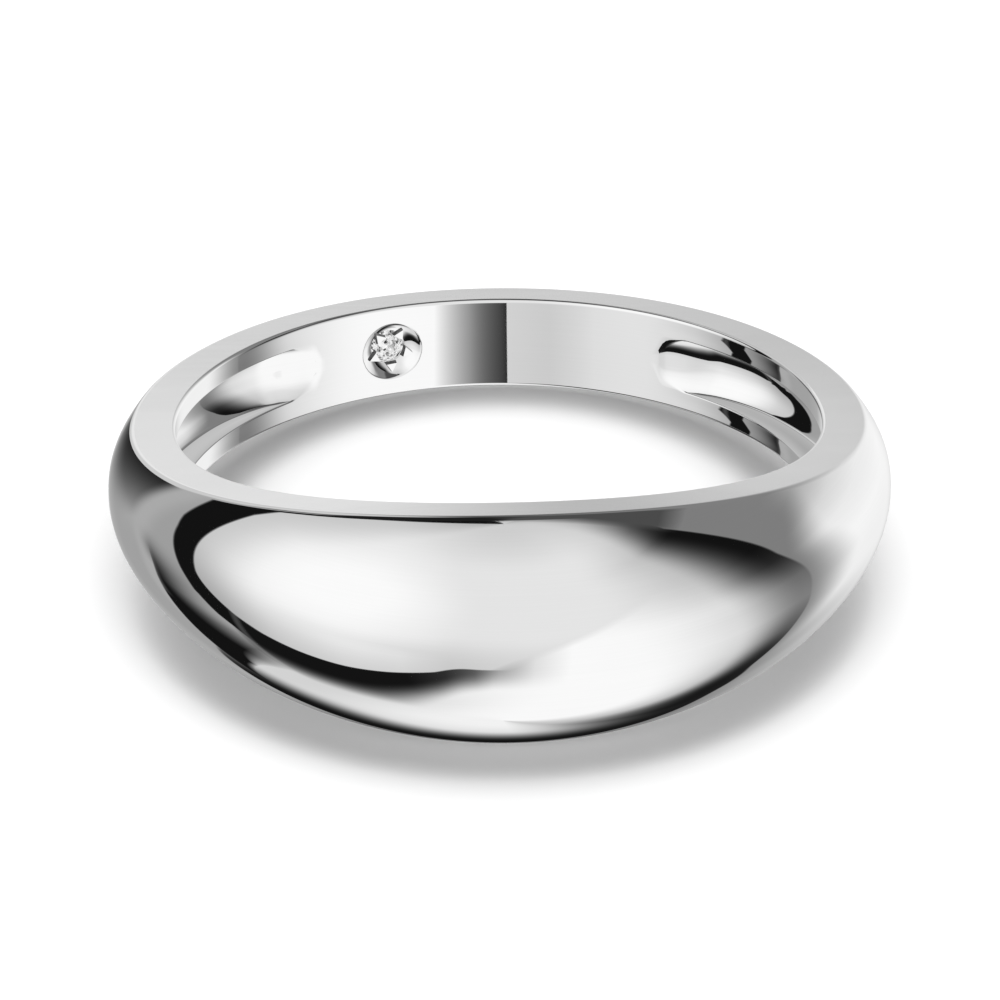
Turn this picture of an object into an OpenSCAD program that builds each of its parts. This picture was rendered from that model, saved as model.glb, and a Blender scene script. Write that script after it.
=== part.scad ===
// A polished silver dome ring. A broad dome in front narrows to a slim band at the back.
// The dome is hollow underneath, between two rails that touch the finger, and a small
// diamond sits in a round dish inside the band.
// The ring lies on its side, so the finger hole runs nearly upright. It leans back a
// little, because the band is widest in front and rests on its lower edge.
// Sizes are in millimetres. The front of the ring faces -Y.

/* [Finger hole] */
// Diameter of the finger hole
hole_d = 17; // [16:0.2:20]

/* [Band width, along the finger] */
// Width in the middle of the dome
width_front = 6.4; // [6:0.1:7]
// Width at the shoulder, halfway round to the side
width_shoulder = 5; // [4.6:0.1:5.2]
// Width at the side
width_side = 3.14; // [3:0.02:3.4]
// Width between the side and the back
width_rear = 2.7; // [2.6:0.02:3]
// Width at the back
width_back = 2.58; // [2.5:0.02:2.8]

/* [Side face, from the finger hole to the dome] */
// Breadth of the flat side face in front
face_front = 0.89; // [0.8:0.01:1.1]
// Breadth of the side face at the shoulder
face_shoulder = 1.03; // [0.9:0.01:1.2]
// Breadth of the side face at the side
face_side = 1.14; // [1:0.01:1.3]
// Breadth of the side face between side and back
face_rear = 0.99; // [0.9:0.01:1.1]
// Breadth of the side face at the back
face_back = 0.86; // [0.8:0.01:1]
// Bevel along the outer edge of the side face
edge_bevel = 0.08; // [0.04:0.01:0.12]

/* [Dome, above the side faces] */
// Rise of the dome in front
rise_front = 2.13; // [1.6:0.01:2.4]
// Rise of the dome at the shoulder
rise_shoulder = 1.2; // [1:0.01:1.4]
// Rise of the dome at the side
rise_side = 0.64; // [0.5:0.01:0.8]
// Rise of the dome between side and back
rise_rear = 0.21; // [0.15:0.01:0.4]
// Rise of the dome at the back
rise_back = 0.31; // [0.2:0.01:0.5]
// How full the dome is: 2 is a plain bow, more is fuller towards the edges
fullness = 2.24; // [2:0.02:3]

/* [Hollow under the dome] */
// Width of each rail that stays beside the hollow
rail_width = 0.58; // [0.5:0.02:0.8]
// Thickness of the silver over the hollow at the sides
shell_side = 0.65; // [0.55:0.01:0.8]
// Thickness of the silver over the hollow in front
shell_front = 0.98; // [0.8:0.01:1.2]
// Thickness of the silver over the hollow towards the back
shell_rear = 0.45; // [0.4:0.01:0.8]
// Angle from the front at which the hollow ends on each side
hollow_end = 148.2; // [130:0.1:150]
// Angle over which the hollow gets shallow towards its ends
hollow_runout = 25.2; // [5:0.1:30]
// Radius of the curve from the hollow's floor to its walls
floor_curve = 1.25; // [0.9:0.01:1.4]
// The same radius at the hollow's ends
end_curve = 0.87; // [0.7:0.01:1]
// Slope of the hollow's floor where it meets its walls
floor_slope = 41.8; // [30:0.1:50]

/* [Stone and dish] */
// Angle of the dish from the back of the ring
seat_angle = 17.8; // [0:0.1:25]
// Width of the dish where it meets the finger hole
dish_d = 1.63; // [1.5:0.01:1.8]
// Depth of the dish
dish_depth = 0.5; // [0.46:0.01:0.56]
// Diameter of the stone
stone_d = 0.95; // [0.9:0.01:1]
// Depth of the stone's table below the finger hole
table_depth = 0.25; // [0.22:0.01:0.28]
// Gap between the stone and its seat
stone_gap = 0.015; // [0.01:0.005:0.02]
// Number of prong points round the stone
prong_count = 5; // [4:1:6]
// Distance from the stone's middle to a prong's point
prong_reach = 0.67; // [0.6:0.01:0.7]

/* [Hidden] */

hole_r = hole_d / 2;
widths = [width_front, width_shoulder, width_side, width_rear, width_back];
faces = [face_front, face_shoulder, face_side, face_rear, face_back];
rises = [rise_front, rise_shoulder, rise_side, rise_rear, rise_back];
shells = [shell_front, (shell_front + shell_side) / 2, shell_side, shell_rear, shell_rear];

// steps round the ring, across the dome and along the curve of the hollow's floor
ring_steps = 120;
dome_steps = 18;
curve_steps = 4;
fine = 96;
// how far the blank reaches into the finger hole before that is bored
bore_allowance = 0.4;
// least cut that keeps the blank's inner wall open where there is no hollow
least_cut = 0.06;
// least depth of the hollow, so that its outline cuts cleanly through the finger hole
least_depth = 0.03;

// Sizes are given at five places from the front to the back. Between them they follow
// the smooth cosine curve through those five, the same on the left and the right.
last = 4;
function end_half(i) = (i == 0 || i == last) ? 0.5 : 1;
function sum(v, i = 0) = i < len(v) ? v[i] + sum(v, i + 1) : 0;
function waves(v) = [for (k = [0:last])
    end_half(k) * 2 / last * sum([for (i = [0:last]) end_half(i) * v[i] * cos(180 * k * i / last)])];
function around(w, a) = sum([for (k = [0:last]) w[k] * cos(k * a)]);

width_waves = waves(widths);
face_waves = waves(faces);
rise_waves = waves(rises);
shell_waves = waves(shells);

function half_width(a) = around(width_waves, a) / 2;
function face_r(a) = hole_r + around(face_waves, a);
function dome_r(a, z) = face_r(a)
    + around(rise_waves, a) * (1 - pow(abs(z) / half_width(a), fullness));

// how far the hollow has gone from its end, and how much of its full depth it has there
function share(x) = min(1, max(0, x));
function ease(x) = let (t = share(x)) t * t * (3 - 2 * t);
function gone(a) = share((hollow_end - abs(a)) / hollow_runout);
function run(a) = let (g = gone(a))
    (1 - pow(1 - g, 2)) * (0.6 + 0.4 * ease((g - 0.15) / 0.35)) * ease(g / 0.055);

// The hollow is a trough with upright walls and a floor that curves up to them. Towards its
// ends the walls run out first, and then the curve of the floor.
function full_half(a) = half_width(a) - rail_width;
function curve_r(a) = min((full_half(a) - 0.03) / sin(floor_slope),
    end_curve + (floor_curve - end_curve) * ease((gone(a) - 0.15) / 0.45));
function level_z(a) = full_half(a) - sin(floor_slope) * curve_r(a);
function depth_at(a, z) = (dome_r(a, z) - around(shell_waves, a) - hole_r) * run(a);
function tilt(a) = acos(max(cos(floor_slope), 1 - depth_at(a, level_z(a)) / curve_r(a)));
function wall_h(a) = max(0, depth_at(a, level_z(a)) - (1 - cos(floor_slope)) * curve_r(a));

// half of the trough's section, from the wall to the middle, as radius and height
function trough(a) =
    let (level = level_z(a), curve = curve_r(a), open = gone(a) > 0,
         full = tilt(a), bends = max(full, 10))
    concat(
        [for (i = [curve_steps:-1:0]) let (b = bends * i / curve_steps)
            [open ? hole_r + least_depth + wall_h(a) + (cos(b * full / bends) - cos(full)) * curve
                  : hole_r - bore_allowance + least_cut, level + sin(b) * curve]],
        [for (z = [level / 2, 0])
            [open ? hole_r + least_depth + depth_at(a, z) : hole_r - bore_allowance + least_cut, z]]);

// one section of the blank at an angle from the front, as radius and height
function section(a) =
    let (h = half_width(a), r0 = hole_r - bore_allowance, face = face_r(a), zb = h - edge_bevel,
         half = trough(a), last_place = len(half) - 1)
    concat(
        [[r0, -h], [face - edge_bevel, -h]],
        [for (i = [0:dome_steps]) let (z = zb * sin(90 * (2 * i / dome_steps - 1))) [dome_r(a, z), z]],
        [[face - edge_bevel, h], [r0, h], [r0, half[0][1]]],
        half,
        [for (i = [last_place - 1:-1:0]) [half[i][0], -half[i][1]]],
        [[r0, -half[0][1]]]);

function spin(p, a) = [p[0] * sin(a), -p[0] * cos(a), p[1]];
sections = [for (i = [0:ring_steps - 1]) let (a = 360 * i / ring_steps)
    let (s = section(a > 180 ? a - 360 : a)) [for (p = s) spin(p, a)]];
per_section = len(sections[0]);

// The ring rests on its lower edge: on the rim of the finger hole in front, and on the outer
// edge of the side face at the back. These two set how it leans. The origin is on the floor
// below the middle of the whole ring.
foot_front = [-hole_r, -half_width(0)];
foot_back = [face_r(180) - edge_bevel, -half_width(180)];
lean = -atan((foot_back[1] - foot_front[1]) / (foot_back[0] - foot_front[0]));
function leaned_y(p) = p[1] * cos(lean) - p[2] * sin(lean);
blank_points = [for (s = sections) for (p = s) p];
shift_y = -(max([for (p = blank_points) leaned_y(p)]) + min([for (p = blank_points) leaned_y(p)])) / 2;
shift_z = -(foot_front[0] * sin(lean) + foot_front[1] * cos(lean));

module lying() {
    translate([0, shift_y, shift_z]) rotate([lean, 0, 0]) children();
}

// puts its children at the dish: the origin on the wall of the finger hole, +Z to its middle
module at_seat() {
    rotate([0, 0, 90 + seat_angle]) translate([hole_r, 0, 0]) rotate([0, -90, 0]) children();
}

module blank() {
    polyhedron(points = blank_points, faces = [for (i = [0:ring_steps - 1]) for (j = [0:per_section - 1])
        let (i2 = (i + 1) % ring_steps, j2 = (j + 1) % per_section,
             p = i * per_section + j, q = i * per_section + j2,
             r = i2 * per_section + j2, s = i2 * per_section + j)
        for (f = [[p, q, r], [p, r, s]]) f]);
}

/* The stone: a round brilliant with table, crown, girdle and pavilion. */
stone_r = stone_d / 2;
table_r = 0.55 * stone_r;
star_r = 0.78 * stone_r;
crown_h = 0.15 * stone_d;
girdle_h = 0.025 * stone_d;
pavilion_h = 0.43 * stone_d;
lower_r = 0.26 * stone_r;
table_z = -table_depth;
girdle_top = table_z - crown_h;
girdle_low = girdle_top - girdle_h;
culet_z = girdle_low - pavilion_h;
mains = 8;
half_step = 180 / mains;
// these heights keep each kite-shaped main facet flat
star_z = table_z - crown_h * (star_r * cos(half_step) - table_r) / (stone_r - table_r);
lower_z = culet_z + pavilion_h * lower_r * cos(half_step) / stone_r;

function loop(n, r, z, turn) = [for (i = [0:n - 1]) let (a = 360 * i / n + turn) [r * cos(a), r * sin(a), z]];

module brilliant() {
    pts = concat(
        loop(mains, table_r, table_z, 0),
        loop(mains, star_r, star_z, half_step),
        loop(2 * mains, stone_r, girdle_top, 0),
        loop(2 * mains, stone_r, girdle_low, 0),
        loop(mains, lower_r, lower_z, half_step),
        [[0, 0, culet_z]]);
    star = mains;
    top = 2 * mains;
    low = 4 * mains;
    under = 6 * mains;
    culet = 7 * mains;
    n2 = 2 * mains;
    polyhedron(points = pts, faces = concat(
        [[for (i = [mains - 1:-1:0]) i]],
        [for (i = [0:mains - 1]) let (n = (i + 1) % mains) [i, n, star + i]],
        [for (i = [0:mains - 1]) let (b = (i + mains - 1) % mains, g = top + 2 * i)
            for (f = [[i, star + i, g], [i, g, star + b]]) f],
        [for (i = [0:mains - 1]) let (g = top + 2 * i, m = g + 1, e = top + (2 * i + 2) % n2)
            for (f = [[star + i, m, g], [star + i, e, m]]) f],
        [for (i = [0:n2 - 1]) let (n = (i + 1) % n2)
            for (f = [[top + i, top + n, low + n], [top + i, low + n, low + i]]) f],
        [for (i = [0:mains - 1]) let (g = low + 2 * i, m = g + 1, e = low + (2 * i + 2) % n2)
            for (f = [[g, m, under + i], [m, e, under + i]]) f],
        [for (i = [0:mains - 1]) let (b = (i + mains - 1) % mains, g = low + 2 * i)
            for (f = [[g, under + i, culet], [g, culet, under + b]]) f]));
}

// the room that the stone needs inside the silver
module stone_room() {
    r = stone_r + stone_gap;
    rotate_extrude($fn = fine) polygon([
        [0, culet_z - 2 * stone_gap], [r, girdle_low - stone_gap / 2], [r, girdle_top + stone_gap],
        [table_r + 2 * stone_gap, table_z + stone_gap], [table_r + 2 * stone_gap, hole_r / 10],
        [0, hole_r / 10]]);
}

/* The star prongs: five flat points that hold the stone's edge. */
prong_base = 0.4;
prong_half = 0.15;
prong_top = -0.15;
module prongs() {
    difference() {
        for (i = [0:prong_count - 1]) rotate([0, 0, 360 * i / prong_count + 183])
            translate([0, 0, -dish_depth - 0.1])
                linear_extrude(height = prong_top + dish_depth + 0.1)
                    polygon([[prong_base, -prong_half], [prong_reach, 0], [prong_base, prong_half]]);
        stone_room();
    }
}

module dish() {
    r = (dish_d * dish_d / 4 + dish_depth * dish_depth) / (2 * dish_depth);
    translate([0, 0, r - dish_depth]) sphere(r = r, $fn = fine);
}

module band() {
    color("silver") lying() union() {
        difference() {
            blank();
            cylinder(h = 4 * width_front, r = hole_r, center = true, $fn = fine);
            at_seat() dish();
            at_seat() stone_room();
        }
        at_seat() prongs();
    }
}

module stone() {
    color("lightcyan") lying() at_seat() brilliant();
}

band();
stone();
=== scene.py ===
"""A polished silver dome ring with a small diamond set inside the band, lying on its side."""

import math

import bmesh
import bpy
from bpy.props import FloatProperty, FloatVectorProperty, IntProperty, PointerProperty
from mathutils import Matrix, Vector


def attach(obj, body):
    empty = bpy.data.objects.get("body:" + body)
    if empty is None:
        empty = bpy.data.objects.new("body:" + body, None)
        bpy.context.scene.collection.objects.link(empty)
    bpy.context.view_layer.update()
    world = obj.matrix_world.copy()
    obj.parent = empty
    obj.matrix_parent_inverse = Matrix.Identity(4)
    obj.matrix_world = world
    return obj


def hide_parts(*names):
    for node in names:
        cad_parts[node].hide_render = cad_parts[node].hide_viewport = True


bl_info = {
    "name": "Silver Dome Ring",
    "version": (1, 0, 0),
    "blender": (4, 5, 0),
    "location": "View3D > Sidebar > Ring",
    "description": "Builds a polished silver dome ring with a small diamond inside the band",
    "category": "Add Mesh",
}

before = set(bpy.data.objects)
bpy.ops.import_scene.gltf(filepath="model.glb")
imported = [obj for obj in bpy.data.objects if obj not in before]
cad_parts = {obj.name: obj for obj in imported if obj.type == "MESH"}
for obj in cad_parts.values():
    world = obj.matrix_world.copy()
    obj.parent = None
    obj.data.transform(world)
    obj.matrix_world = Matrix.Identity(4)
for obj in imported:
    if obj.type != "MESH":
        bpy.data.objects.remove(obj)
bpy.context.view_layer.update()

MM = 0.001
BODY = "root"

# How the ring lies: it leans back and stands off the floor's origin by this much.
LEAN = math.radians(-6.13143)
SHIFT = Vector((0, 0.918795, 2.27381)) * MM
LYING = Matrix.Translation(SHIFT) @ Matrix.Rotation(LEAN, 4, "X")

# Rows and columns of the band's mesh.
COLUMNS = 540
DOME_ROWS = 56
WALL_ROWS = 72
OUTER_ROWS, FACE_ROWS, INNER_ROWS = 5, 4, 6
PATCH_ROWS, LIP_ROWS, DISH_ROWS, SEAT_ROWS = 8, 5, 10, 3
# Merging distance for the strips of the band, and the angle past which an edge is sharp.
MERGE = 1e-6
SHARP = math.radians(40)
# A tone between 0 and 1 raised to this power is the light that the picture shows as that tone.
TONE_POWER = 2.2


# ---------------------------------------------------------------- colours


def linear(code):
    """An sRGB colour written as hex, as the linear colour that shaders take."""
    parts = [int(code[i:i + 2], 16) / 255 for i in (1, 3, 5)]
    return [c / 12.92 if c <= 0.04045 else ((c + 0.055) / 1.055) ** 2.4 for c in parts] + [1.0]


# ---------------------------------------------------------------- node trees


def add(tree, kind, inputs=(), **settings):
    """Adds a node with its settings, and links or sets its inputs, given by place or by name."""
    node = tree.nodes.new(kind)
    for name, value in settings.items():
        setattr(node, name, value)
    pairs = inputs.items() if isinstance(inputs, dict) else enumerate(inputs)
    for key, value in pairs:
        if isinstance(value, Field):
            value = value.socket
        if isinstance(value, bpy.types.NodeSocket):
            tree.links.new(value, node.inputs[key])
        elif value is not None:
            node.inputs[key].default_value = value
    return node


class Field:
    """A number that varies over a surface, so that a shape's rule reads as a formula."""

    def __init__(self, socket):
        self.socket = socket

    def math(self, operation, *terms, clamp=False):
        """The outcome of one Math node on the given terms, or on this number alone."""
        settings = {"use_clamp": True} if clamp else {}
        node = add(self.socket.id_data, "ShaderNodeMath", terms or (self,),
                   operation=operation, **settings)
        return Field(node.outputs[0])

    def __add__(self, other): return self.math("ADD", self, other)
    def __radd__(self, other): return self.math("ADD", other, self)
    def __sub__(self, other): return self.math("SUBTRACT", self, other)
    def __rsub__(self, other): return self.math("SUBTRACT", other, self)
    def __mul__(self, other): return self.math("MULTIPLY", self, other)
    def __rmul__(self, other): return self.math("MULTIPLY", other, self)
    def __truediv__(self, other): return self.math("DIVIDE", self, other)
    def __pow__(self, other): return self.math("POWER", self, other)
    def __neg__(self): return self.math("MULTIPLY", self, -1.0)
    def __abs__(self): return self.math("ABSOLUTE")
    def cos(self): return self.math("COSINE")
    def sin(self): return self.math("SINE")
    def least(self, other): return self.math("MINIMUM", self, other)
    def most(self, other): return self.math("MAXIMUM", self, other)

    def share(self, start, end):
        """How far the value has come from start to end, from 0 to 1."""
        gone = self - start
        return gone.math("DIVIDE", gone, end - start, clamp=True)

    def ease(self, start, end):
        """The same with a soft start and a soft end."""
        t = self.share(start, end)
        return t * t * (3.0 - 2.0 * t)


def mix(a, b, t):
    """a where t is 0, b where t is 1, and in between by share."""
    return a + (b - a) * t


def bow(a, b, c, t):
    """A curve from a to c that starts and ends along the straight lines to b."""
    s = 1.0 - t
    return a * s * s + b * (2.0 * s * t) + c * (t * t)


def through(t, *points):
    """A line through the points (t, value), level before the first and after the last."""
    total = points[0][1]
    for (t0, v0), (t1, v1) in zip(points, points[1:]):
        total = total + (v1 - v0) * t.share(t0, t1)
    return total


# ---------------------------------------------------------------- settings


class RingBandSettings(bpy.types.PropertyGroup):
    """Sizes of the band, the hollow inside it and the dish for the stone"""
    hole: FloatProperty(
        name="Finger hole", description="Diameter of the finger hole",
        default=17 * MM, unit="LENGTH", precision=5)
    widths: FloatVectorProperty(
        name="Widths", description="Width along the finger at five places from the front to the back",
        size=5, default=[w * MM for w in (6.4, 5.0, 3.14, 2.7, 2.58)], unit="LENGTH", precision=5)
    faces: FloatVectorProperty(
        name="Side faces", description="Breadth of the side faces at the same five places",
        size=5, default=[w * MM for w in (0.89, 1.03, 1.14, 0.99, 0.86)], unit="LENGTH", precision=5)
    rises: FloatVectorProperty(
        name="Rises", description="Rise of the dome above the side faces at the same five places",
        size=5, default=[w * MM for w in (2.13, 1.2, 0.64, 0.21, 0.31)], unit="LENGTH", precision=5)
    shells: FloatVectorProperty(
        name="Shell", description="Thickness of the silver over the hollow at the same five places",
        size=5, default=[w * MM for w in (0.95, 0.785, 0.62, 0.42, 0.42)], unit="LENGTH", precision=5)
    fullness: FloatProperty(
        name="Fullness", description="2 is a plain bow, more is fuller at the edges", default=2.24)
    rail: FloatProperty(
        name="Rail width", description="Width of each rail beside the hollow",
        default=0.58 * MM, unit="LENGTH", precision=5)
    hollow_end: FloatProperty(
        name="Hollow's end", description="Angle from the front where the hollow ends",
        default=math.radians(148.2), unit="ROTATION")
    hollow_runout: FloatProperty(
        name="Hollow's run-out", description="Angle over which the hollow gets shallow",
        default=math.radians(25.2), unit="ROTATION")
    floor_curve: FloatProperty(
        name="Floor's curve", description="Radius of the curve from the hollow's floor to its walls",
        default=1.25 * MM, unit="LENGTH", precision=5)
    end_curve: FloatProperty(
        name="End's curve", description="The same radius at the hollow's ends",
        default=0.87 * MM, unit="LENGTH", precision=5)
    floor_fillet: FloatProperty(
        name="Floor's fillet", description="Length of the rounding between the floor and a wall",
        default=0.05 * MM, unit="LENGTH", precision=5)
    floor_slope: FloatProperty(
        name="Floor's slope", description="Slope of the hollow's floor where it meets its walls",
        default=math.radians(41.8), unit="ROTATION")
    end_round: FloatProperty(
        name="End rounding", description="How much wider the rail's rounded edge is at the ends",
        default=0.24 * MM, unit="LENGTH", precision=5)
    outer_round: FloatProperty(
        name="Outer rounding", description="Rounding of the side face's outer edge",
        default=0.07 * MM, unit="LENGTH", precision=5)
    inner_round: FloatProperty(
        name="Inner rounding", description="Rounding of the side face's inner edge",
        default=0.09 * MM, unit="LENGTH", precision=5)
    rail_round: FloatProperty(
        name="Rail rounding", description="Rounding of the rail's edge at the hollow",
        default=0.035 * MM, unit="LENGTH", precision=5)
    rail_hollow: FloatProperty(
        name="Rail hollow", description="How far the middle of a rail is buffed below its edges",
        default=0.0045 * MM, unit="LENGTH", precision=6)
    dish_angle: FloatProperty(
        name="Dish angle", description="Angle of the dish from the back of the ring",
        default=math.radians(17.8), unit="ROTATION")
    dish_width: FloatProperty(
        name="Dish width", description="Width of the dish at the finger hole",
        default=1.63 * MM, unit="LENGTH", precision=5)
    dish_depth: FloatProperty(
        name="Dish depth", description="Depth of the dish",
        default=0.5 * MM, unit="LENGTH", precision=5)
    seat: FloatProperty(
        name="Seat radius", description="Radius of the stone's seat in the dish",
        default=0.49 * MM, unit="LENGTH", precision=5)


class RingProngSettings(bpy.types.PropertyGroup):
    """Sizes of the star prongs"""
    count: IntProperty(
        name="Count", description="Number of prongs round the stone", default=5, min=3)
    reach: FloatProperty(
        name="Reach", description="Distance from the stone's middle to a prong's point",
        default=0.67 * MM, unit="LENGTH", precision=5)
    base: FloatProperty(
        name="Base", description="Distance from the stone's middle to a prong's inner edge",
        default=0.4 * MM, unit="LENGTH", precision=5)
    top: FloatProperty(
        name="Top", description="Depth of the prongs' flat tops below the finger hole",
        default=0.15 * MM, unit="LENGTH", precision=5)
    height: FloatProperty(
        name="Height", description="Height of the prongs",
        default=0.17 * MM, unit="LENGTH", precision=5)
    bevel: FloatProperty(
        name="Bevel", description="How far the prongs' sides slope out and in",
        default=0.015 * MM, unit="LENGTH", precision=5)
    turn: FloatProperty(
        name="Turn", description="Angle of the first prong from the top",
        default=math.radians(183), unit="ROTATION")


class RingFinishSettings(bpy.types.PropertyGroup):
    """Colours and polish of the silver and the stone"""
    silver: FloatVectorProperty(
        name="Silver", description="Colour of the polished silver",
        subtype="COLOR", size=4, default=linear("#FBFBFB"), min=0, max=1)
    polish: FloatProperty(
        name="Polish", description="Roughness of the polished silver",
        default=0.02, min=0, max=1, subtype="FACTOR")
    satin: FloatProperty(
        name="Satin", description="Roughness of the side faces",
        default=0.2, min=0, max=1, subtype="FACTOR")
    diamond: FloatVectorProperty(
        name="Diamond", description="Colour of the stone",
        subtype="COLOR", size=4, default=linear("#FFFFFF"), min=0, max=1)


class RingStageSettings(bpy.types.PropertyGroup):
    """Light and lens of the picture"""
    daylight: FloatProperty(
        name="Daylight", description="Brightness of the even light on the floor", default=1.48, min=0)
    tent: FloatProperty(
        name="Light tent", description="Radius of the ball of light round the ring",
        default=1.5, unit="LENGTH")
    lens: FloatProperty(
        name="Lens", description="Focal length of the camera, in millimetres",
        default=270.255, min=1)


# ---------------------------------------------------------------- the band


def band_sizes(theta, band):
    """The band's half width, face radius, rise and shell at an angle from the front.

    Five given values go into one smooth cosine curve, the same on the left and the right."""
    last = 4
    cosines = [None] + [(theta * float(k)).cos() for k in range(1, last + 1)]
    weights = []
    for i in range(last + 1):
        total = 0.5
        for k in range(1, last + 1):
            amount = math.cos(math.pi * k * i / last) * (0.5 if k == last else 1)
            total = total + cosines[k] * amount
        weights.append(total * ((0.5 if i in (0, last) else 1) * 2 / last))

    def along(name):
        """The value of one row of five at the angle."""
        total = 0.0
        for i, weight in enumerate(weights):
            total = weight * band[f"{name} {i + 1}"] + total
        return total

    half = along("Width") * 0.5
    face = along("Side face") + band["Finger hole"] * 0.5
    return half, face, along("Rise"), along("Shell")


def dome_radius(z, half, face, rise, band):
    """Radius of the dome's outside at a height above or below the middle of the band."""
    return face + rise * (1.0 - (abs(z) / half) ** band["Fullness"])


def inner_wall(theta, v, band):
    """Radius and height on the inside of the band: rail, hollow and rail, from top to bottom.

    The hollow is a trough with upright walls and a floor that curves up to them. Towards each end
    it gets shallow, so that the walls run out first and then the curve of the floor.

    Counted from the top or bottom edge, the rail takes the rows up to 6, its rounded edge those up
    to 10, the wall up to 12, the fillet up to 16, the curve up to 25, and the floor the rest."""
    half, face, rise, shell = band_sizes(theta, band)
    bore = band["Finger hole"] * 0.5
    inner, edge = band["Inner rounding"], band["Rail rounding"]
    slope = band["Floor's slope"]
    # a thin row along each edge of the rail keeps the rail's shading flat
    thin = 0.006 * MM
    side = 1.0 - v.math("GREATER_THAN", v, 0.5) * 2.0
    q = abs(v * 2.0 - 1.0)
    rows = WALL_ROWS / 2

    def step(first, last):
        """Share of the rows first to last."""
        return q.share(1 - first / rows, 1 - last / rows)

    away = abs(theta)
    end, runout = band["Hollow's end"], band["Hollow's run-out"]
    gone = away.share(end, end - runout)
    left = 1.0 - gone
    # how much of its full depth the hollow has, from nothing at its ends to all of it
    run = (1.0 - left * left) * mix(0.6, 1.0, gone.ease(0.15, 0.5)) * gone.ease(-0.01, 0.1)

    def depth_at(height):
        """How far the hollow goes outward from the finger hole at a height."""
        return (dome_radius(height, half, face, rise, band) - shell - bore) * run

    # the curve of the floor is tighter at the hollow's ends, and leaves a strip between its halves
    full_open = half - band["Rail width"]
    widest = (full_open - 0.03 * MM) / slope.sin()
    curve = mix(band["End's curve"], band["Floor's curve"], gone.ease(0.15, 0.6)).least(widest)
    level_z = full_open - slope.sin() * curve
    depth = depth_at(level_z)
    low_cos = (1.0 - depth / curve).most(slope.cos())
    tilt = low_cos.math("ARCCOSINE")
    wall = (depth - (1.0 - slope.cos()) * curve).most(0.0)
    opening = level_z + tilt.sin() * curve
    arc = tilt * curve
    spare = level_z * 0.5 * (1.0 - tilt / slope)
    # at its ends the hollow fades softly into the finger hole, but no rounding reaches the middle
    softer = band["End rounding"] * (1.0 - gone.ease(0.0, 0.26))
    edge = (edge + softer).least((arc + spare + wall) * 0.75)

    def trough(way):
        """Place at a distance along the wall and then the curve of the floor."""
        bend = tilt * (1.0 - (way - wall).share(0.0, arc))
        z = opening - (tilt.sin() - bend.sin()) * curve - (way - wall - arc).most(0.0)
        return z, way.least(wall) + (bend.cos() - low_cos) * curve

    # the fillet rounds the crease between the wall and the curve, where the wall is high enough
    fillet = ((wall - edge) * 0.45).least(band["Floor's fillet"]).most(0.004 * MM)
    crease = wall.most(edge + fillet * 1.5)
    z, r = trough(mix(mix(edge, crease - fillet, step(10, 12)), wall + arc + spare, step(16, 25))
                  + (fillet * 2.0) * step(12, 16) * (1.0 - step(16, 25)))
    f = step(12, 16)
    in_fillet = f.math("GREATER_THAN", f, 0.0) * f.math("LESS_THAN", f, 1.0)
    (z0, r0), (z1, r1), (z2, r2) = trough(crease - fillet), trough(crease), trough(crease + fillet)
    z = mix(z, bow(z0, z1, z2, f), in_fillet)
    r = mix(r, bow(r0, r1, r2, f), in_fillet)

    # the rail, which is buffed a hair hollow, its rounded edge, and then the trough
    top = half - inner
    flat = top - (opening + edge)
    across = step(1, 5)
    rail_z = top - thin * step(0, 1) - (flat - 2.0 * thin) * across - thin * step(5, 6)
    t = step(6, 10)
    z = bow(rail_z, opening, z, t)
    r = r * (t * t) + band["Rail hollow"] * 4.0 * across * (1.0 - across) * gone.ease(0.0, 0.3)
    t_floor = step(25, rows)
    z = z * (1.0 - t_floor)
    on_floor = t_floor.math("GREATER_THAN", t_floor, 0.0)
    r = mix(r, depth + depth_at(z) - depth_at(level_z - spare), on_floor)
    return bore + r, z * side


def spun(theta, r, z):
    """The place at an angle from the front, a radius and a height."""
    node = add(z.socket.id_data, "ShaderNodeCombineXYZ", (theta.sin() * r, -(theta.cos() * r), z))
    return node.outputs[0]


def strip(tree, columns, rows, place, satin=False):
    """A sheet of columns by rows whose points go where the formula puts them."""
    grid = add(tree, "GeometryNodeMeshGrid",
               {"Size X": 1.0, "Size Y": 1.0, "Vertices X": columns + 1, "Vertices Y": rows + 1})
    mesh = grid.outputs["Mesh"]
    if satin:
        mesh = add(tree, "GeometryNodeStoreNamedAttribute",
                   {"Geometry": mesh, "Name": "satin", "Value": 1.0},
                   data_type="FLOAT", domain="FACE").outputs[0]
    return add(tree, "GeometryNodeSetPosition", {"Geometry": mesh, "Position": place}).outputs[0]


def group_with_inputs(name, inputs):
    """A node group with one number for each input, and a geometry output."""
    tree = bpy.data.node_groups.new(name, "GeometryNodeTree")
    tree.interface.new_socket("Geometry", in_out="OUTPUT", socket_type="NodeSocketGeometry")
    for label, value in inputs.items():
        socket = tree.interface.new_socket(label, in_out="INPUT", socket_type="NodeSocketFloat")
        socket.default_value = value
    source = add(tree, "NodeGroupInput")
    return tree, {label: Field(source.outputs[label]) for label in inputs}


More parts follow.
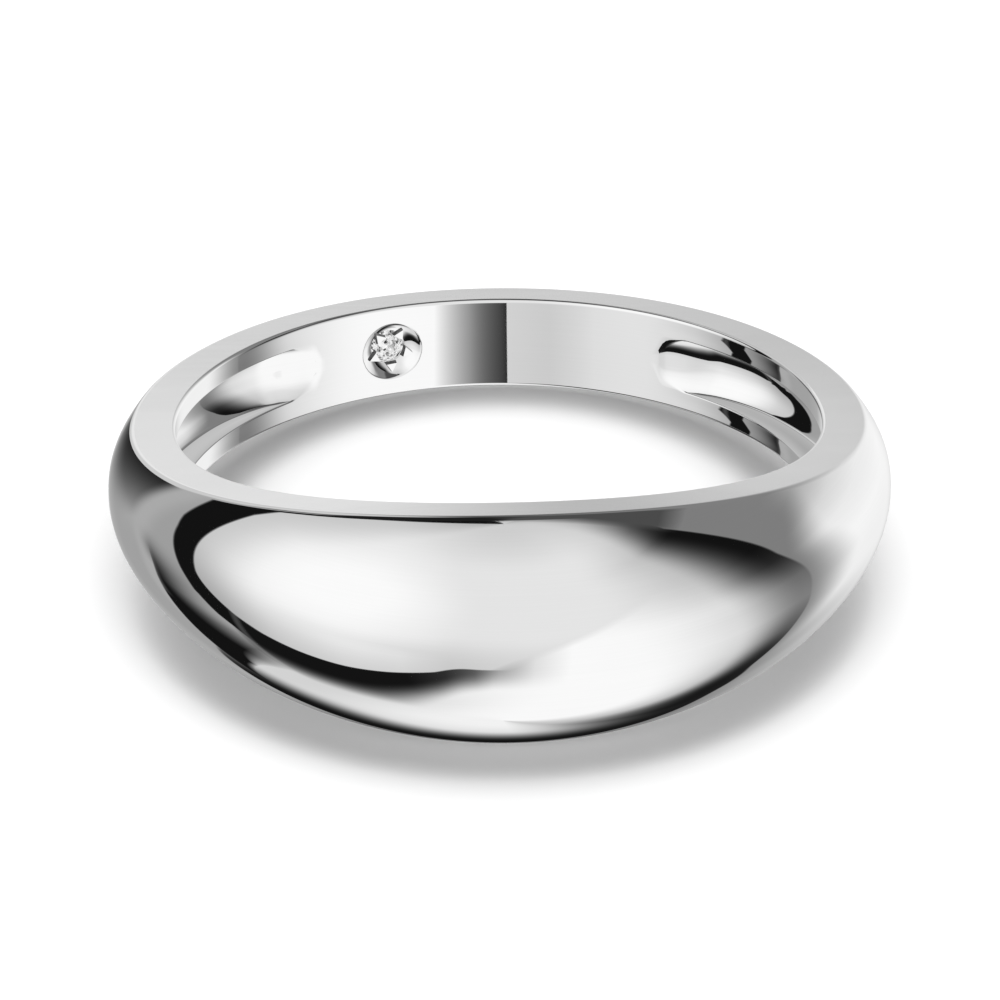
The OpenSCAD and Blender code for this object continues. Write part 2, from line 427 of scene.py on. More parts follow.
def band_tree(inputs, silver, satin):
    """Node group that makes the whole band from its sizes."""
    tree, band = group_with_inputs("Dome ring band", inputs)
    position = add(tree, "GeometryNodeInputPosition").outputs[0]
    position = add(tree, "ShaderNodeSeparateXYZ", (position,))
    u, v = Field(position.outputs[0]) + 0.5, Field(position.outputs[1]) + 0.5
    turn = 2 * math.pi
    theta = (u - 0.5) * turn
    half, face, rise, _ = band_sizes(theta, band)
    bore = band["Finger hole"] * 0.5
    outer, inner = band["Outer rounding"], band["Inner rounding"]
    parts = []

    # the dome, with rows that lie closer together towards its edges
    edge_z = half - outer
    z = edge_z * ((v - 0.5) * math.pi).sin()
    r = dome_radius(z, half, face, rise, band)
    parts.append(strip(tree, COLUMNS, DOME_ROWS, spun(theta, r, z)))

    # the outer rounding runs on from the dome's slope to the flat side face
    edge_r = dome_radius(edge_z, half, face, rise, band)
    slope = rise * band["Fullness"] / half * (edge_z / half) ** (band["Fullness"] - 1.0)
    corner_r = edge_r - slope * outer
    for up in (1, -1):
        t = v if up > 0 else 1.0 - v
        r = bow(edge_r, corner_r, corner_r - outer, t)
        z = bow(edge_z, half, half, t)
        parts.append(strip(tree, COLUMNS, OUTER_ROWS, spun(theta, r, z * up)))
        # the flat side face, with a thin row along each edge, and then the inner rounding
        across = through(t, (0, 0), (0.25, 0.006), (0.75, 0.994), (1, 1))
        r = mix(corner_r - outer, bore + inner, across)
        parts.append(strip(tree, COLUMNS, FACE_ROWS, spun(theta, r, half * up), satin=True))
        bend = t * (math.pi / 2)
        r = bore + inner * (1.0 - bend.sin())
        z = half - inner * (1.0 - bend.cos())
        parts.append(strip(tree, COLUMNS, INNER_ROWS, spun(theta, r, z * up)))

    # the inside, less the faces round the dish
    dish_theta = band["Dish angle"] - math.pi
    column = (dish_theta / turn + 0.5) * COLUMNS
    first_row, wide = 1, 20
    first = column.math("ROUND") - wide / 2
    u0, u1 = first / COLUMNS, (first + wide) / COLUMNS
    v0, v1 = first_row / WALL_ROWS, 1 - first_row / WALL_ROWS
    r, z = inner_wall(theta, v, band)
    inside = strip(tree, COLUMNS, WALL_ROWS, spun(theta, r, z))
    grid = inside.node.inputs["Geometry"].links[0].from_node
    in_u = u.math("GREATER_THAN", u, u0) * u.math("LESS_THAN", u, u1)
    in_v = u.math("GREATER_THAN", v, v0) * u.math("LESS_THAN", v, v1)
    removed = add(tree, "GeometryNodeDeleteGeometry",
                  {"Geometry": grid.outputs[0], "Selection": in_u * in_v}, domain="FACE")
    tree.links.new(removed.outputs[0], inside.node.inputs["Geometry"])
    parts.append(inside)

    # the patch between that opening and the dish, then the dish and the stone's seat
    tall = WALL_ROWS - 2 * first_row
    around = 2 * (wide + tall)
    k = u * float(around)
    patch_u = u0 + (k.share(0, wide) - k.share(wide + tall, 2 * wide + tall)) * (wide / COLUMNS)
    patch_v = v0 + (k.share(wide, wide + tall) - k.share(2 * wide + tall, around)) * (v1 - v0)
    border_theta = (patch_u - 0.5) * turn
    _, border_z = inner_wall(border_theta, patch_v, band)
    border_x = (border_theta - dish_theta) * bore
    alpha = border_z.math("ARCTAN2", border_z, border_x)
    depth, rim = band["Dish depth"], band["Dish width"] * 0.5
    ball = (rim * rim + depth * depth) / (depth * 2.0)
    reach = rim * alpha.cos()
    rise_at_rim = reach * reach / (bore * 2.0)
    rim = (ball * ball - (ball - depth - rise_at_rim) ** 2.0) ** 0.5
    rounding = 0.03 * MM

    def on_bore(radius):
        """Place on the finger hole's wall at a distance from the dish's middle."""
        x = radius * alpha.cos()
        return x, radius * alpha.sin(), bore - (bore * bore - x * x) ** 0.5

    def on_ball(radius):
        """Place on the round bottom of the dish at a distance from its middle."""
        return (radius * alpha.cos(), radius * alpha.sin(),
                ball - depth - (ball * ball - radius * radius) ** 0.5)

    def at_dish(x, z, lift):
        """The same place in the ring, where lift is the height above the finger hole's wall."""
        r = bore - lift
        out = add(tree, "ShaderNodeCombineXYZ", (
            dish_theta.sin() * r + dish_theta.cos() * x,
            dish_theta.sin() * x - dish_theta.cos() * r, z))
        return out.outputs[0]

    outside = on_bore(rim + rounding)
    near_x = outside[0].math("ARCSINE", outside[0] / bore) * bore
    patch_x, patch_z = mix(border_x, near_x, v), mix(border_z, outside[1], v)
    angle = patch_x / bore + dish_theta
    parts.append(strip(tree, around, PATCH_ROWS, spun(angle, bore, patch_z)))
    edge, within = on_bore(rim), on_ball(rim - rounding)
    lip = [bow(a, b, c, v) for a, b, c in zip(outside, edge, within)]
    parts.append(strip(tree, around, LIP_ROWS, at_dish(*lip)))
    seat = band["Seat radius"]
    radius = mix(rim - rounding, seat, v)
    parts.append(strip(tree, around, DISH_ROWS, at_dish(*on_ball(radius))))
    # the seat is a short upright wall and a cone below it, which ends in a point
    wall, cone, point = 0.07 * MM, 0.42 * MM, 0.002
    radius = seat * (1.0 - v.share(1 / 3, 1)).most(point)
    lift = on_ball(seat)[2] - wall * v.share(0, 1 / 3) - cone * v.share(1 / 3, 1)
    at_seat = at_dish(radius * alpha.cos(), radius * alpha.sin(), lift)
    parts.append(strip(tree, around, SEAT_ROWS, at_seat))

    joined = add(tree, "GeometryNodeJoinGeometry")
    for part in parts:
        tree.links.new(part, joined.inputs[0])
    merged = add(tree, "GeometryNodeMergeByDistance",
                 {"Geometry": joined.outputs[0], "Distance": MERGE})
    smooth = add(tree, "GeometryNodeSetShadeSmooth", {"Geometry": merged.outputs[0]}, domain="FACE")
    angle = add(tree, "GeometryNodeInputMeshEdgeAngle")
    bend = Field(angle.outputs["Unsigned Angle"])
    crisp = add(tree, "GeometryNodeSetShadeSmooth",
                {"Geometry": smooth.outputs[0], "Selection": bend.math("GREATER_THAN", bend, SHARP),
                 "Shade Smooth": False}, domain="EDGE")
    lying = add(tree, "GeometryNodeTransform",
                {"Geometry": crisp.outputs[0], "Translation": SHIFT, "Rotation": (LEAN, 0, 0)})
    real = add(tree, "GeometryNodeRealizeInstances", (lying.outputs[0],))
    polished = add(tree, "GeometryNodeSetMaterial", {"Geometry": real.outputs[0], "Material": silver})
    is_satin = add(tree, "GeometryNodeInputNamedAttribute", {"Name": "satin"}, data_type="FLOAT")
    flag = Field(is_satin.outputs["Attribute"])
    faced = add(tree, "GeometryNodeSetMaterial",
                {"Geometry": polished.outputs[0], "Selection": flag.math("GREATER_THAN", flag, 0.5),
                 "Material": satin})
    add(tree, "NodeGroupOutput", (faced.outputs[0],))
    return tree


def prongs_tree(inputs, silver, cut):
    """Node group that makes one flat three-cornered prong and repeats it round the stone."""
    tree, prong = group_with_inputs("Star prongs", inputs)
    count = add(tree, "FunctionNodeFloatToInt", (prong["Count"],)).outputs[0]
    size = (prong["Reach"] - prong["Base"]) / 1.5
    one = add(tree, "GeometryNodeMeshCone", {
        "Vertices": 3, "Radius Top": size - prong["Bevel"], "Radius Bottom": size + prong["Bevel"],
        "Depth": prong["Height"]})
    ring = add(tree, "GeometryNodeMeshCircle",
               {"Vertices": count, "Radius": prong["Base"] + size * 0.5})
    outward = add(tree, "FunctionNodeAlignRotationToVector",
                  {"Vector": add(tree, "GeometryNodeInputPosition").outputs[0]}, axis="X")
    placed = add(tree, "GeometryNodeInstanceOnPoints", {
        "Points": ring.outputs["Mesh"], "Instance": one.outputs["Mesh"],
        "Rotation": outward.outputs[0]})
    real = add(tree, "GeometryNodeRealizeInstances", (placed.outputs[0],))
    flat = add(tree, "GeometryNodeSetMaterial", {"Geometry": real.outputs[0], "Material": silver})
    done = add(tree, "GeometryNodeSetMaterial",
               # the sides get the darker silver, which paints shade along each prong's outline
               {"Geometry": flat.outputs[0], "Selection": one.outputs["Side"], "Material": cut})
    add(tree, "NodeGroupOutput", (done.outputs[0],))
    return tree


def made_by(tree, name):
    """Runs a node group on an empty mesh and returns the plain mesh object that it makes."""
    host = bpy.data.objects.new(name + "_host", bpy.data.meshes.new(name + "_host"))
    bpy.context.scene.collection.objects.link(host)
    modifier = host.modifiers.new("Shape", "NODES")
    modifier.node_group = tree
    for item in tree.interface.items_tree:
        if item.in_out == "INPUT":
            modifier[item.identifier] = item.default_value
    bpy.context.view_layer.update()
    seen = host.evaluated_get(bpy.context.evaluated_depsgraph_get())
    mesh = bpy.data.meshes.new_from_object(seen, preserve_all_data_layers=True,
                                           depsgraph=bpy.context.evaluated_depsgraph_get())
    mesh.name = name
    bpy.data.objects.remove(host)
    piece = bpy.data.objects.new(name, mesh)
    bpy.context.scene.collection.objects.link(piece)
    return piece


# ---------------------------------------------------------------- materials


def new_material(name):
    """A material with an empty node tree."""
    material = bpy.data.materials.new(name)
    material.use_nodes = True
    tree = material.node_tree
    tree.nodes.clear()
    return material, tree


def grain(tree, per_mm, detail=3.0, place=Vector((0, 0, 0)), tilt=0.0):
    """Cloudy noise in the ring's own directions, with so many features to the millimetre."""
    seen = add(tree, "ShaderNodeTexCoord").outputs["Object"]
    turned = add(tree, "ShaderNodeMapping",
                 {"Vector": seen, "Location": place, "Rotation": (tilt, 0, 0)},
                 vector_type="TEXTURE").outputs[0]
    scaled = add(tree, "ShaderNodeVectorMath", (turned, [n / MM for n in per_mm]),
                 operation="MULTIPLY")
    noise = add(tree, "ShaderNodeTexNoise",
                {"Vector": scaled.outputs[0], "Scale": 1.0, "Detail": detail, "Roughness": 0.55})
    return Field(noise.outputs[0])


def matt(name, code):
    """A plain matt material in one colour, written as hex."""
    material, tree = new_material(name)
    shader = add(tree, "ShaderNodeBsdfDiffuse", {"Color": linear(code)})
    add(tree, "ShaderNodeOutputMaterial", (shader.outputs[0],))
    return material


def metal(tree, colour, roughness, height, depth, turn=0.0):
    """Bare metal with a fine relief. The depth of the relief is in metres."""
    relief = add(tree, "ShaderNodeBump", {"Strength": 1.0, "Distance": depth, "Height": height})
    shader = add(tree, "ShaderNodeBsdfPrincipled", {
        "Metallic": 1.0, "Base Color": colour, "Roughness": roughness, "Anisotropic": turn,
        "Normal": relief.outputs[0]})
    add(tree, "ShaderNodeOutputMaterial", (shader.outputs[0],))


def shaded(tree, colour, low, high, amount):
    """The colour between two brightnesses, by an amount from 0 to 1."""
    return add(tree, "ShaderNodeMix", {
        "Factor": amount, "A": [c * low for c in colour[:3]] + [1.0],
        "B": [c * high for c in colour[:3]] + [1.0]}, data_type="RGBA").outputs["Result"]


def polished_silver(finish):
    """Cast sterling silver, polished to a mirror with a soft wheel.

    Hair lines of the polish run round the ring, a few to the tenth of a millimetre, and dull the
    mirror a trifle in patches. The cast skin below waves by well under a thousandth of a millimetre."""
    material, tree = new_material("Polished silver")
    lines = grain(tree, (0.25, 0.25, 26.0), 3.0, SHIFT, LEAN)
    cloud = grain(tree, (0.35, 0.35, 0.35), 2.0, SHIFT, LEAN)
    waves = grain(tree, (0.8, 0.8, 0.8), 1.0, SHIFT, LEAN)
    worn = lines.share(0.3, 0.7) * 0.4 + cloud.share(0.3, 0.7) * 0.6
    roughness = finish.polish * mix(0.5, 1.5, worn)
    bright = lines.share(0.3, 0.7) * 0.5 + cloud.share(0.35, 0.65) * 0.5
    colour = shaded(tree, finish.silver, 0.975, 1.0, bright)
    metal(tree, colour, roughness, waves + lines * 0.01, 0.0002 * MM)
    return material


def satin_silver(finish):
    """The same silver on the side faces, lapped flat on a fine wheel.

    The lapping leaves straight streaks side by side, drawn about a tenth of a millimetre apart,
    which is coarser than real ones so that the picture still shows them."""
    material, tree = new_material("Lapped silver")
    streaks = grain(tree, (0.35, 9.0, 0.0), 4.0, SHIFT, LEAN)
    broad = grain(tree, (0.12, 0.9, 0.0), 2.0, SHIFT, LEAN)
    roughness = finish.satin * mix(0.8, 1.2, streaks.share(0.3, 0.7))
    bright = streaks.share(0.3, 0.7) * 0.6 + broad.share(0.3, 0.7) * 0.4
    colour = shaded(tree, finish.silver, 0.93, 1.0, bright)
    metal(tree, colour, roughness, streaks, 0.0006 * MM, 0.3)
    return material


def cut_silver_with_painted_shade():
    """The sides of the prongs, cut with a graver and left as cut, dark in the grooves: partly tarnish,
    partly painted shade.

    The dark colour outlines each prong as a painted shadow line, and its cloudy patches keep the line
    from looking drawn."""
    material, tree = new_material("Graver-cut silver with painted shade")
    cloud = grain(tree, (9.0, 9.0, 9.0), 2.0, SHIFT, LEAN)
    marks = grain(tree, (40.0, 40.0, 4.0), 1.0, SHIFT, LEAN)
    # painted shade: the sides' grey, darkened in cloudy patches, stands in for tarnish and the shade in
    # the grooves
    colour = shaded(tree, linear("#8C8C8C"), 0.3, 1.0, cloud.share(0.35, 0.65))
    metal(tree, colour, 0.3, marks, 0.002 * MM)
    return material


def cut_diamond(finish):
    """A colourless diamond, cut and polished: clear, with strong fire and hard bright facets.

    The glass shows the facets. Over it lies the sparkle, the light that has gone through the stone
    and comes back out: flecks of a tenth of a millimetre, each a mirror turned its own way. Traces
    of the polishing wheel and a faint haze keep it from looking like plain glass."""
    material, tree = new_material("Cut diamond")
    trace = grain(tree, (30.0, 6.0, 30.0), 2.0)
    haze = grain(tree, (3.0, 3.0, 3.0), 2.0)
    clear = add(tree, "ShaderNodeBsdfGlass", {
        "Color": shaded(tree, finish.diamond, 0.94, 1.0, haze.share(0.3, 0.6)),
        "Roughness": trace.share(0.55, 0.8) * 0.03, "IOR": 2.417})
    place = add(tree, "ShaderNodeTexCoord").outputs["Object"]
    flecks = add(tree, "ShaderNodeTexVoronoi", {"Vector": place, "Scale": 14.0 / MM})
    lean = add(tree, "ShaderNodeVectorMath", (flecks.outputs["Color"], (0.5, 0.5, 0.5)),
               operation="SUBTRACT")
    flat = add(tree, "ShaderNodeNewGeometry").outputs["Normal"]
    turned = add(tree, "ShaderNodeVectorMath", (lean.outputs[0], (2.0, 2.0, 2.0), flat),
                 operation="MULTIPLY_ADD")
    facing = add(tree, "ShaderNodeVectorMath", (turned.outputs[0],), operation="NORMALIZE")
    sparkle = add(tree, "ShaderNodeBsdfGlossy", {
        "Color": finish.diamond, "Roughness": 0.03, "Normal": facing.outputs[0]})
    both = add(tree, "ShaderNodeMixShader", (0.85, clear.outputs[0], sparkle.outputs[0]))
    add(tree, "ShaderNodeOutputMaterial", (both.outputs[0],))
    return material


# ---------------------------------------------------------------- stage


def corner(a, b, r):
    """Distance past a rounded corner between two edges, given the distances past each edge."""
    x, y = (a + r).most(0.0), (b + r).most(0.0)
    return (x * x + y * y) ** 0.5 - r + a.most(b).least(-r) + r


def surroundings(az, el):
    """Tone, from 0 to 255, of what the silver mirrors in a direction of the studio.

    az is the direction's angle round the ring, 0 towards the camera and 90 to the right, and el
    its height, both in degrees. The parts are laid over each other: open white space, a big
    softbox on the left, a grey card behind and on the right, and dark gaps beside them."""
    down = -el
    # the same angle without a break behind the ring, from -88 to 272
    wrapped = az + 360.0 * az.math("LESS_THAN", az, -88.0)

    # open white space, a little grey overhead and low on the left
    tone = mix(254.0, 231.0, el.ease(-5, 38)) - 16.0 * el.ease(72, 92)
    low_left = az.ease(20, -75).most(az.ease(110, 176)) * down.ease(30, 50)
    tone = mix(tone, mix(214.0, 246.0, down.ease(58, 84)), low_left)

    # the big softbox on the left: how far past its left and lower edges a direction lies
    past_l = -104.0 - 0.21 * el.least(34.0) + 0.38 * (el - 41.0).most(0.0) - az
    past_b = -34.0 + mix(0.0229 * abs(az + 57.0) ** 1.7, 12.3, az.ease(-27, -10)) - el
    past = corner(past_l, past_b, 9.0)
    # its glow is brightest in the middle and falls off to every side
    from_middle = (((az + 62.0) / 46.0) ** 2 + ((el - 33.0).most(0.0) / 38.0) ** 2
                   + ((33.0 - el).most(0.0) / 62.0) ** 2) ** 0.5
    box = 232.0 + 24.0 * (1.0 - from_middle.ease(0.25, 1.15))
    box = box - 28.0 * (1.0 - (-past_l).ease(0, 24))
    box = box - 34.0 * (1.0 - (-past_b).ease(-4, 36)) * az.ease(15, -40)
    box = box - 15.0 * (1.0 - (-past_b).ease(0, 30)) * az.ease(-40, 15)
    box = box - 24.0 * el.ease(64, 90)
    lower_part = through(az, (-80, 0.0), (-56, 0.8), (-36, 1.0), (-20, 0.0))
    box = box + 15.0 * lower_part * el.ease(-8, -19)
    # the dark space under the box, which makes the crescent on the dome
    depth = 15.0 * (1.0 - ((az + 62.0) / 56.0) ** 2).most(0.0)
    strength = through(az, (-95, 0.0), (-89, 1.0), (-36, 1.0), (-22, 0.9), (-12, 0.72),
                       (-4, 0.4), (8, 0.12), (20, 0.0))
    crescent = strength * (1.0 - past_b.ease(depth - 2.0, depth + 24.0))

    # left of the box: grey strip, dark wedge and the end of the card behind
    line = -145.5 + 1.12 * el
    patch = (40.0 + 4.1 * (az - line)).least(170.0)
    behind = mix(patch, 162.0 + 0.75 * (-150.0 - az).most(0.0), down.ease(9, 30))
    behind = mix(206.0, behind, az.share(line - 0.5, line + 0.5).most(down.ease(12, 20)))
    behind = mix(behind, 172.0, az.ease(-134, -127))
    behind = mix(behind, 70.0, az.ease(-138, -130) * el.ease(34, 44))
    hollow = 1.0 - ((az + 122.0 - 0.9 * (-30.0 - el).most(0.0)) / 25.0).share(0, 1)
    hollow = hollow * down.ease(6, 32) * az.share(-131, -121).most(down.share(30, 36))
    hollow = hollow ** (1.0 + 0.7 * el.share(-36, -28))
    strip = mix(mix(172.0, 160.0, az.ease(-126, -118)), 26.0, hollow)
    past_end = corner(wrapped - 237.0, -54.0 - el, 30.0)
    in_strip = past_end.share(-0.5, 0.5).most(through(el, (-28, 0.0), (-20, 1.0)))
    side = mix(behind, strip, in_strip * az.ease(-132, -122).most(down.share(26, 34)))
    edge = through(el, (-38, -90.0), (-32, -94), (-28, -99.5), (-24, -104.3), (-16, -107.5),
                   (0, -112.8), (6, -114.7), (12, -117.5), (24, -121.0))
    side = mix(side, 26.0, az.share(edge - 0.5, edge + 0.5) * down.ease(44, 36))
    turned = (az + 124.0).most(0.0)
    low = -54.0 + 0.35 * turned
    bottom = el.share(low - 0.6 - 0.3 * turned, low + 0.6)
    tone = mix(tone, side, bottom * (1.0 - az.share(-93, -89)))
    tone = mix(tone, 27.0, crescent * az.share(-108, -90))
    # the softbox's right side shows only as a soft step
    past_right = az - (15.0 + 1.1 * (el + 5.0))
    in_box = (1.0 - past.share(-0.4, 0.4)) * (1.0 - past_right.share(-4, 4) * el.share(40, 25))
    tone = mix(tone, box, in_box)

    # the card behind and on the right, with a dark soft gap round it
    from_r = 93.3 + 0.055 * (12.0 - el).most(0.0) ** 1.45 + 0.6 * (el - 54.0).most(0.0) - wrapped
    low_r = -53.8 + 4.3 * wrapped.ease(150, 172)
    past_r = corner(from_r, low_r - el, 18.0)
    gap = mix(1.0 - past_r.ease(3, 27), 1.0 - past_r.ease(0, 60),
              through(el, (-18, 0.4), (-5, 0.28)))
    gap = gap * through(el, (-60, 1.0), (-50, 0.9), (-42, 0.72), (-28, 0.55), (-12, 0.64),
                        (8, 0.92), (22, 1.0), (52, 1.0), (62, 0.75), (74, 0.3), (84, 0.1))
    below = (1.0 - (-54.2 - el).ease(-1.5, 17.0)) * (low_r - el).share(-0.4, 0.4)
    below = below * wrapped.ease(240, 200)
    gap = mix(gap, below, wrapped.share(150, 175))
    gap = gap * past_r.share(-1.6, -0.8) * az.share(-91, -92).most(az.share(0, 1))
    tone = mix(tone, 25.0, gap)
    start = through(el, (-30, -6.0), (-8, -2.0), (4, 0.0), (14, 5.0), (24, 14.0))
    width = through(el, (-24, 28.0), (0, 18.0))
    top = through(el, (-40, 240.0), (-15, 250.0), (2, 238.0), (12, 218.0), (20, 185.0), (32, 128.0))
    card = mix(127.0, top, (-past_r).ease(start, start + width)) - 34.0 * wrapped.ease(150, 184)
    in_card = past_r.share(0.4, -0.4) * (1.0 - el.share(70, 80)) * wrapped.share(196, 184)
    tone = mix(tone, card, in_card)

    # dark space behind the overhead light, which makes the thin line along the edges
    back = (90.0 - el) * -(az * math.radians(1.0)).cos()
    overhead = back.share(0.5, 3.0) * (1.0 - back.share(26.0, 34.0))
    overhead = overhead * el.share(50, 56) * wrapped.ease(252, 246)
    tone = mix(tone, mix(78.0, 36.0, wrapped.share(165, 190)), overhead)

    # the white wall far behind, which the side faces look at
    wall = mix(234.0, 196.0, el.ease(16.5, 20.5)) - 22.0 * wrapped.ease(178, 170)
    at_wall = wrapped.ease(167.5, 181) * wrapped.ease(206, 196) * el.ease(-6, 4) * el.ease(34, 26)
    return mix(tone, wall, at_wall)


def set_up(scene, name, mesh, material):
    """Puts a mesh with one material into the scene as a piece of the stage."""
    mesh.materials.append(material)
    piece = bpy.data.objects.new(name, mesh)
    scene.collection.objects.link(piece)
    return piece


def sheet(name, places, faces):
    """A flat mesh through the given places."""
    mesh = bpy.data.meshes.new(name)
    mesh.from_pydata(places, [], faces)
    return mesh


def light_tent(scene, stage):
    """A ball of soft light round the ring that only its reflections see."""
    material, tree = new_material("Light tent")
    place = add(tree, "ShaderNodeTexCoord").outputs["Object"]
    unit = add(tree, "ShaderNodeVectorMath", (place,), operation="NORMALIZE").outputs[0]
    x, y, z = (Field(s) for s in add(tree, "ShaderNodeSeparateXYZ", (unit,)).outputs)
    degrees = 180 / math.pi
    az = x.math("ARCTAN2", x, -y) * degrees
    el = z.math("ARCSINE") * degrees
    tone = surroundings(az, el) / 255.0
    shader = add(tree, "ShaderNodeEmission", {"Strength": tone.most(0.0) ** TONE_POWER})
    add(tree, "ShaderNodeOutputMaterial", (shader.outputs[0],))
    material.cycles.emission_sampling = "NONE"
    mesh = bpy.data.meshes.new("light_tent")
    shape = bmesh.new()
    bmesh.ops.create_icosphere(shape, subdivisions=5, radius=stage.tent)
    shape.to_mesh(mesh)
    shape.free()
    tent = set_up(scene, "light_tent", mesh, material)
    tent.visible_camera = tent.visible_diffuse = tent.visible_shadow = False


def dark_card(scene):
    """A dark card that only the back of the finger hole mirrors. It thins out to the right."""
    material, tree = new_material("Dark card")
    place = add(tree, "ShaderNodeTexCoord").outputs["Object"]
    x = Field(add(tree, "ShaderNodeSeparateXYZ", (place,)).outputs[0])
    tone = mix(60.0, 255.0, x.share(-0.8 * MM, 4.2 * MM) ** 0.8) / 255.0
    dark = add(tree, "ShaderNodeBsdfTransparent")
    # only its back is dark, so the dome doesn't mirror it
    back = Field(add(tree, "ShaderNodeNewGeometry").outputs["Backfacing"])
    tint = add(tree, "ShaderNodeCombineColor", [mix(1.0, tone ** TONE_POWER, back)] * 3)
    tree.links.new(tint.outputs[0], dark.inputs["Color"])
    add(tree, "ShaderNodeOutputMaterial", (dark.outputs[0],))
    left, right, low, high, y = (v * MM for v in (-0.83, 5.0, -6.5, -0.9, -6.0))
    places = [(left, y, low), (right, y, low), (right, y, high), (left, y, high)]
    card = set_up(scene, "dark_card", sheet("dark_card", places, [(0, 1, 2, 3)]), material)
    card.visible_camera = card.visible_diffuse = False
    card.visible_shadow = card.visible_transmission = False


def shade_card(scene):
    """A black ring of card low under the silver ring, a little smaller than it.

    Nothing mirrors it, but it deepens the soft shadow on the floor."""
    steps, height = 96, 0.9 * MM
    outside, inside = (9.95 * MM, -0.5 * MM), (7.45 * MM, SHIFT.y)
    places, faces = [], []
    for i in range(steps):
        a = 2 * math.pi * i / steps
        for radius, middle in (outside, inside):
            places.append((radius * math.sin(a), middle - radius * math.cos(a), height))
        here, after = 2 * i, (2 * i + 2) % (2 * steps)
        faces.append((here, after, after + 1, here + 1))
    mesh = sheet("shade_card", places, faces)
    card = set_up(scene, "shade_card", mesh, matt("Black card", "#000000"))
    card.visible_camera = card.visible_glossy = card.visible_transmission = False


def floor(scene):
    """A plain white floor. The polished silver doesn't see it, only the light round it."""
    size = 2.0
    places = [(-size, -size, 0), (size, -size, 0), (size, size, 0), (-size, size, 0)]
    mesh = sheet("floor", places, [(0, 1, 2, 3)])
    piece = set_up(scene, "floor", mesh, matt("White floor", "#F4F4F4"))
    piece.visible_glossy = piece.visible_transmission = False


# ---------------------------------------------------------------- operators


class RING_OT_band(bpy.types.Operator):
    """Makes the silver band with its dome, side faces, rails, hollow and dish"""
    bl_idname = "ring.band"
    bl_label = "Band"

    def execute(self, context):
        band, finish = context.scene.ring_band, context.scene.ring_finish
        inputs = {"Finger hole": band.hole}
        for label, values in (("Width", band.widths), ("Side face", band.faces),
                              ("Rise", band.rises), ("Shell", band.shells)):
            inputs.update({f"{label} {i + 1}": value for i, value in enumerate(values)})
        inputs.update({
            "Fullness": band.fullness, "Rail width": band.rail,
            "Hollow's end": band.hollow_end, "Hollow's run-out": band.hollow_runout,
            "Floor's curve": band.floor_curve, "End's curve": band.end_curve,
            "Floor's slope": band.floor_slope, "Floor's fillet": band.floor_fillet,
            "Rail hollow": band.rail_hollow, "End rounding": band.end_round,
            "Outer rounding": band.outer_round, "Inner rounding": band.inner_round,
            "Rail rounding": band.rail_round,
            "Dish angle": band.dish_angle, "Dish width": band.dish_width,
            "Dish depth": band.dish_depth, "Seat radius": band.seat,
        })
        tree = band_tree(inputs, polished_silver(finish), satin_silver(finish))
        piece = made_by(tree, "ring_band")
        # as in the photo, the silver mirrors only the light round it and not itself
        piece.visible_glossy = False
        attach(piece, BODY)
        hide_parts("band")
        return {"FINISHED"}


class RING_OT_prongs(bpy.types.Operator):
    """Makes the five star prongs that hold the stone's edge"""
    bl_idname = "ring.prongs"
    bl_label = "Star prongs"

    def execute(self, context):
        band, prong = context.scene.ring_band, context.scene.ring_prongs
        tree = prongs_tree({"Count": prong.count, "Reach": prong.reach, "Base": prong.base,
                            "Height": prong.height, "Bevel": prong.bevel},
                           bpy.data.materials["Polished silver"], cut_silver_with_painted_shade())
        piece = made_by(tree, "star_prongs")
        middle = -(prong.top + prong.height / 2)
        piece.data.transform(
            LYING @ Matrix.Rotation(math.pi / 2 + band.dish_angle, 4, "Z")
            @ Matrix.Translation((band.hole / 2, 0, 0)) @ Matrix.Rotation(-math.pi / 2, 4, "Y")
            @ Matrix.Rotation(prong.turn, 4, "Z") @ Matrix.Translation((0, 0, middle)))
        piece.visible_glossy = False
        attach(piece, BODY)
        return {"FINISHED"}


class RING_OT_stone(bpy.types.Operator):
    """Gives the diamond its look"""
    bl_idname = "ring.stone"
    bl_label = "Stone"

    def execute(self, context):
        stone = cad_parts["stone"]
        stone.data.materials.clear()
        stone.data.materials.append(cut_diamond(context.scene.ring_finish))
        stone.visible_glossy = False
        return {"FINISHED"}


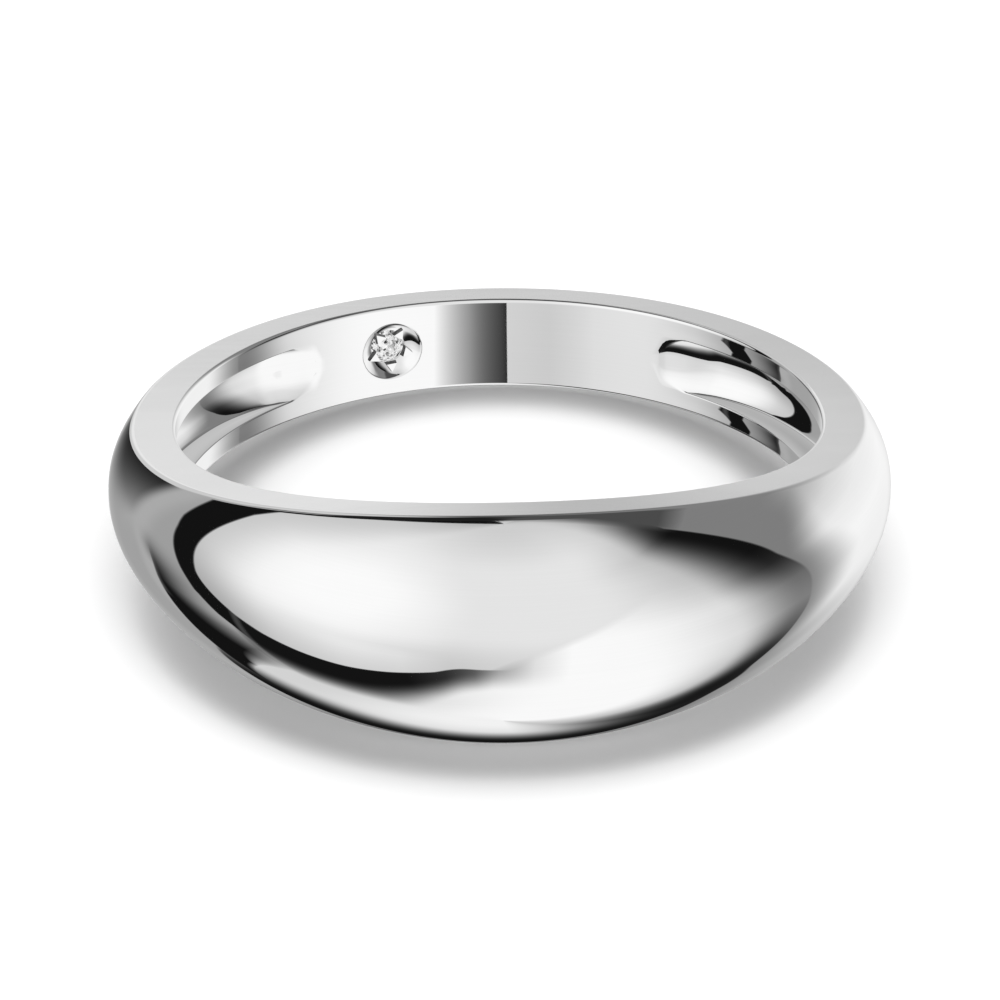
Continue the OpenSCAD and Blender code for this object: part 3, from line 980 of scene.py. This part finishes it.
class RING_OT_stage(bpy.types.Operator):
    """Makes the floor, the light and the camera"""
    bl_idname = "ring.stage"
    bl_label = "Stage"

    def execute(self, context):
        stage = context.scene.ring_stage
        scene = context.scene
        scene.view_settings.view_transform = "Standard"

        # even light from all round, which the silver and the stone don't mirror
        world = bpy.data.worlds.new("Even light")
        world.use_nodes = True
        light = world.node_tree.nodes["Background"]
        light.inputs["Color"].default_value = (1, 1, 1, 1)
        light.inputs["Strength"].default_value = stage.daylight
        scene.world = world
        world.cycles_visibility.glossy = world.cycles_visibility.transmission = False
        light_tent(scene, stage)
        dark_card(scene)
        shade_card(scene)
        floor(scene)

        camera = bpy.data.objects.new("Camera", bpy.data.cameras.new("Camera"))
        scene.collection.objects.link(camera)
        camera.data.sensor_width = 36
        camera.data.lens = stage.lens
        camera.data.clip_start, camera.data.clip_end = 0.01, 10
        # fitted to the photo's edges: where the camera stood, and how far round and down it looked
        place = Vector((-6.88494, -168.59264, 104.60301)) * MM
        heading, height, roll = (math.radians(a) for a in (2.3357, 31.2964, -0.0832))
        camera.matrix_world = (
            Matrix.Translation(place)
            @ Matrix.Rotation(-heading, 4, "Z") @ Matrix.Rotation(math.pi / 2 - height, 4, "X")
            @ Matrix.Rotation(roll, 4, "Z"))
        scene.camera = camera
        return {"FINISHED"}


class RING_PT_panel(bpy.types.Panel):
    """Lists the ring's pieces"""
    bl_label = "Silver Dome Ring"
    bl_idname = "RING_PT_panel"
    bl_space_type = "VIEW_3D"
    bl_region_type = "UI"
    bl_category = "Ring"

    def draw(self, context):
        for operator in (RING_OT_band, RING_OT_prongs, RING_OT_stone, RING_OT_stage):
            self.layout.operator(operator.bl_idname)


CLASSES = (RingBandSettings, RingProngSettings, RingFinishSettings, RingStageSettings,
           RING_OT_band, RING_OT_prongs, RING_OT_stone, RING_OT_stage, RING_PT_panel)


def register():
    """Makes the settings, the operators and the panel known to Blender."""
    for cls in CLASSES:
        bpy.utils.register_class(cls)
    bpy.types.Scene.ring_band = PointerProperty(type=RingBandSettings)
    bpy.types.Scene.ring_prongs = PointerProperty(type=RingProngSettings)
    bpy.types.Scene.ring_finish = PointerProperty(type=RingFinishSettings)
    bpy.types.Scene.ring_stage = PointerProperty(type=RingStageSettings)


def unregister():
    """Takes them away again."""
    for name in ("ring_band", "ring_prongs", "ring_finish", "ring_stage"):
        delattr(bpy.types.Scene, name)
    for cls in reversed(CLASSES):
        bpy.utils.unregister_class(cls)


def main():
    """Builds the ring and the stage."""
    register()
    bpy.ops.ring.band()
    bpy.ops.ring.prongs()
    bpy.ops.ring.stone()
    bpy.ops.ring.stage()


if __name__ == "__main__":
    main()
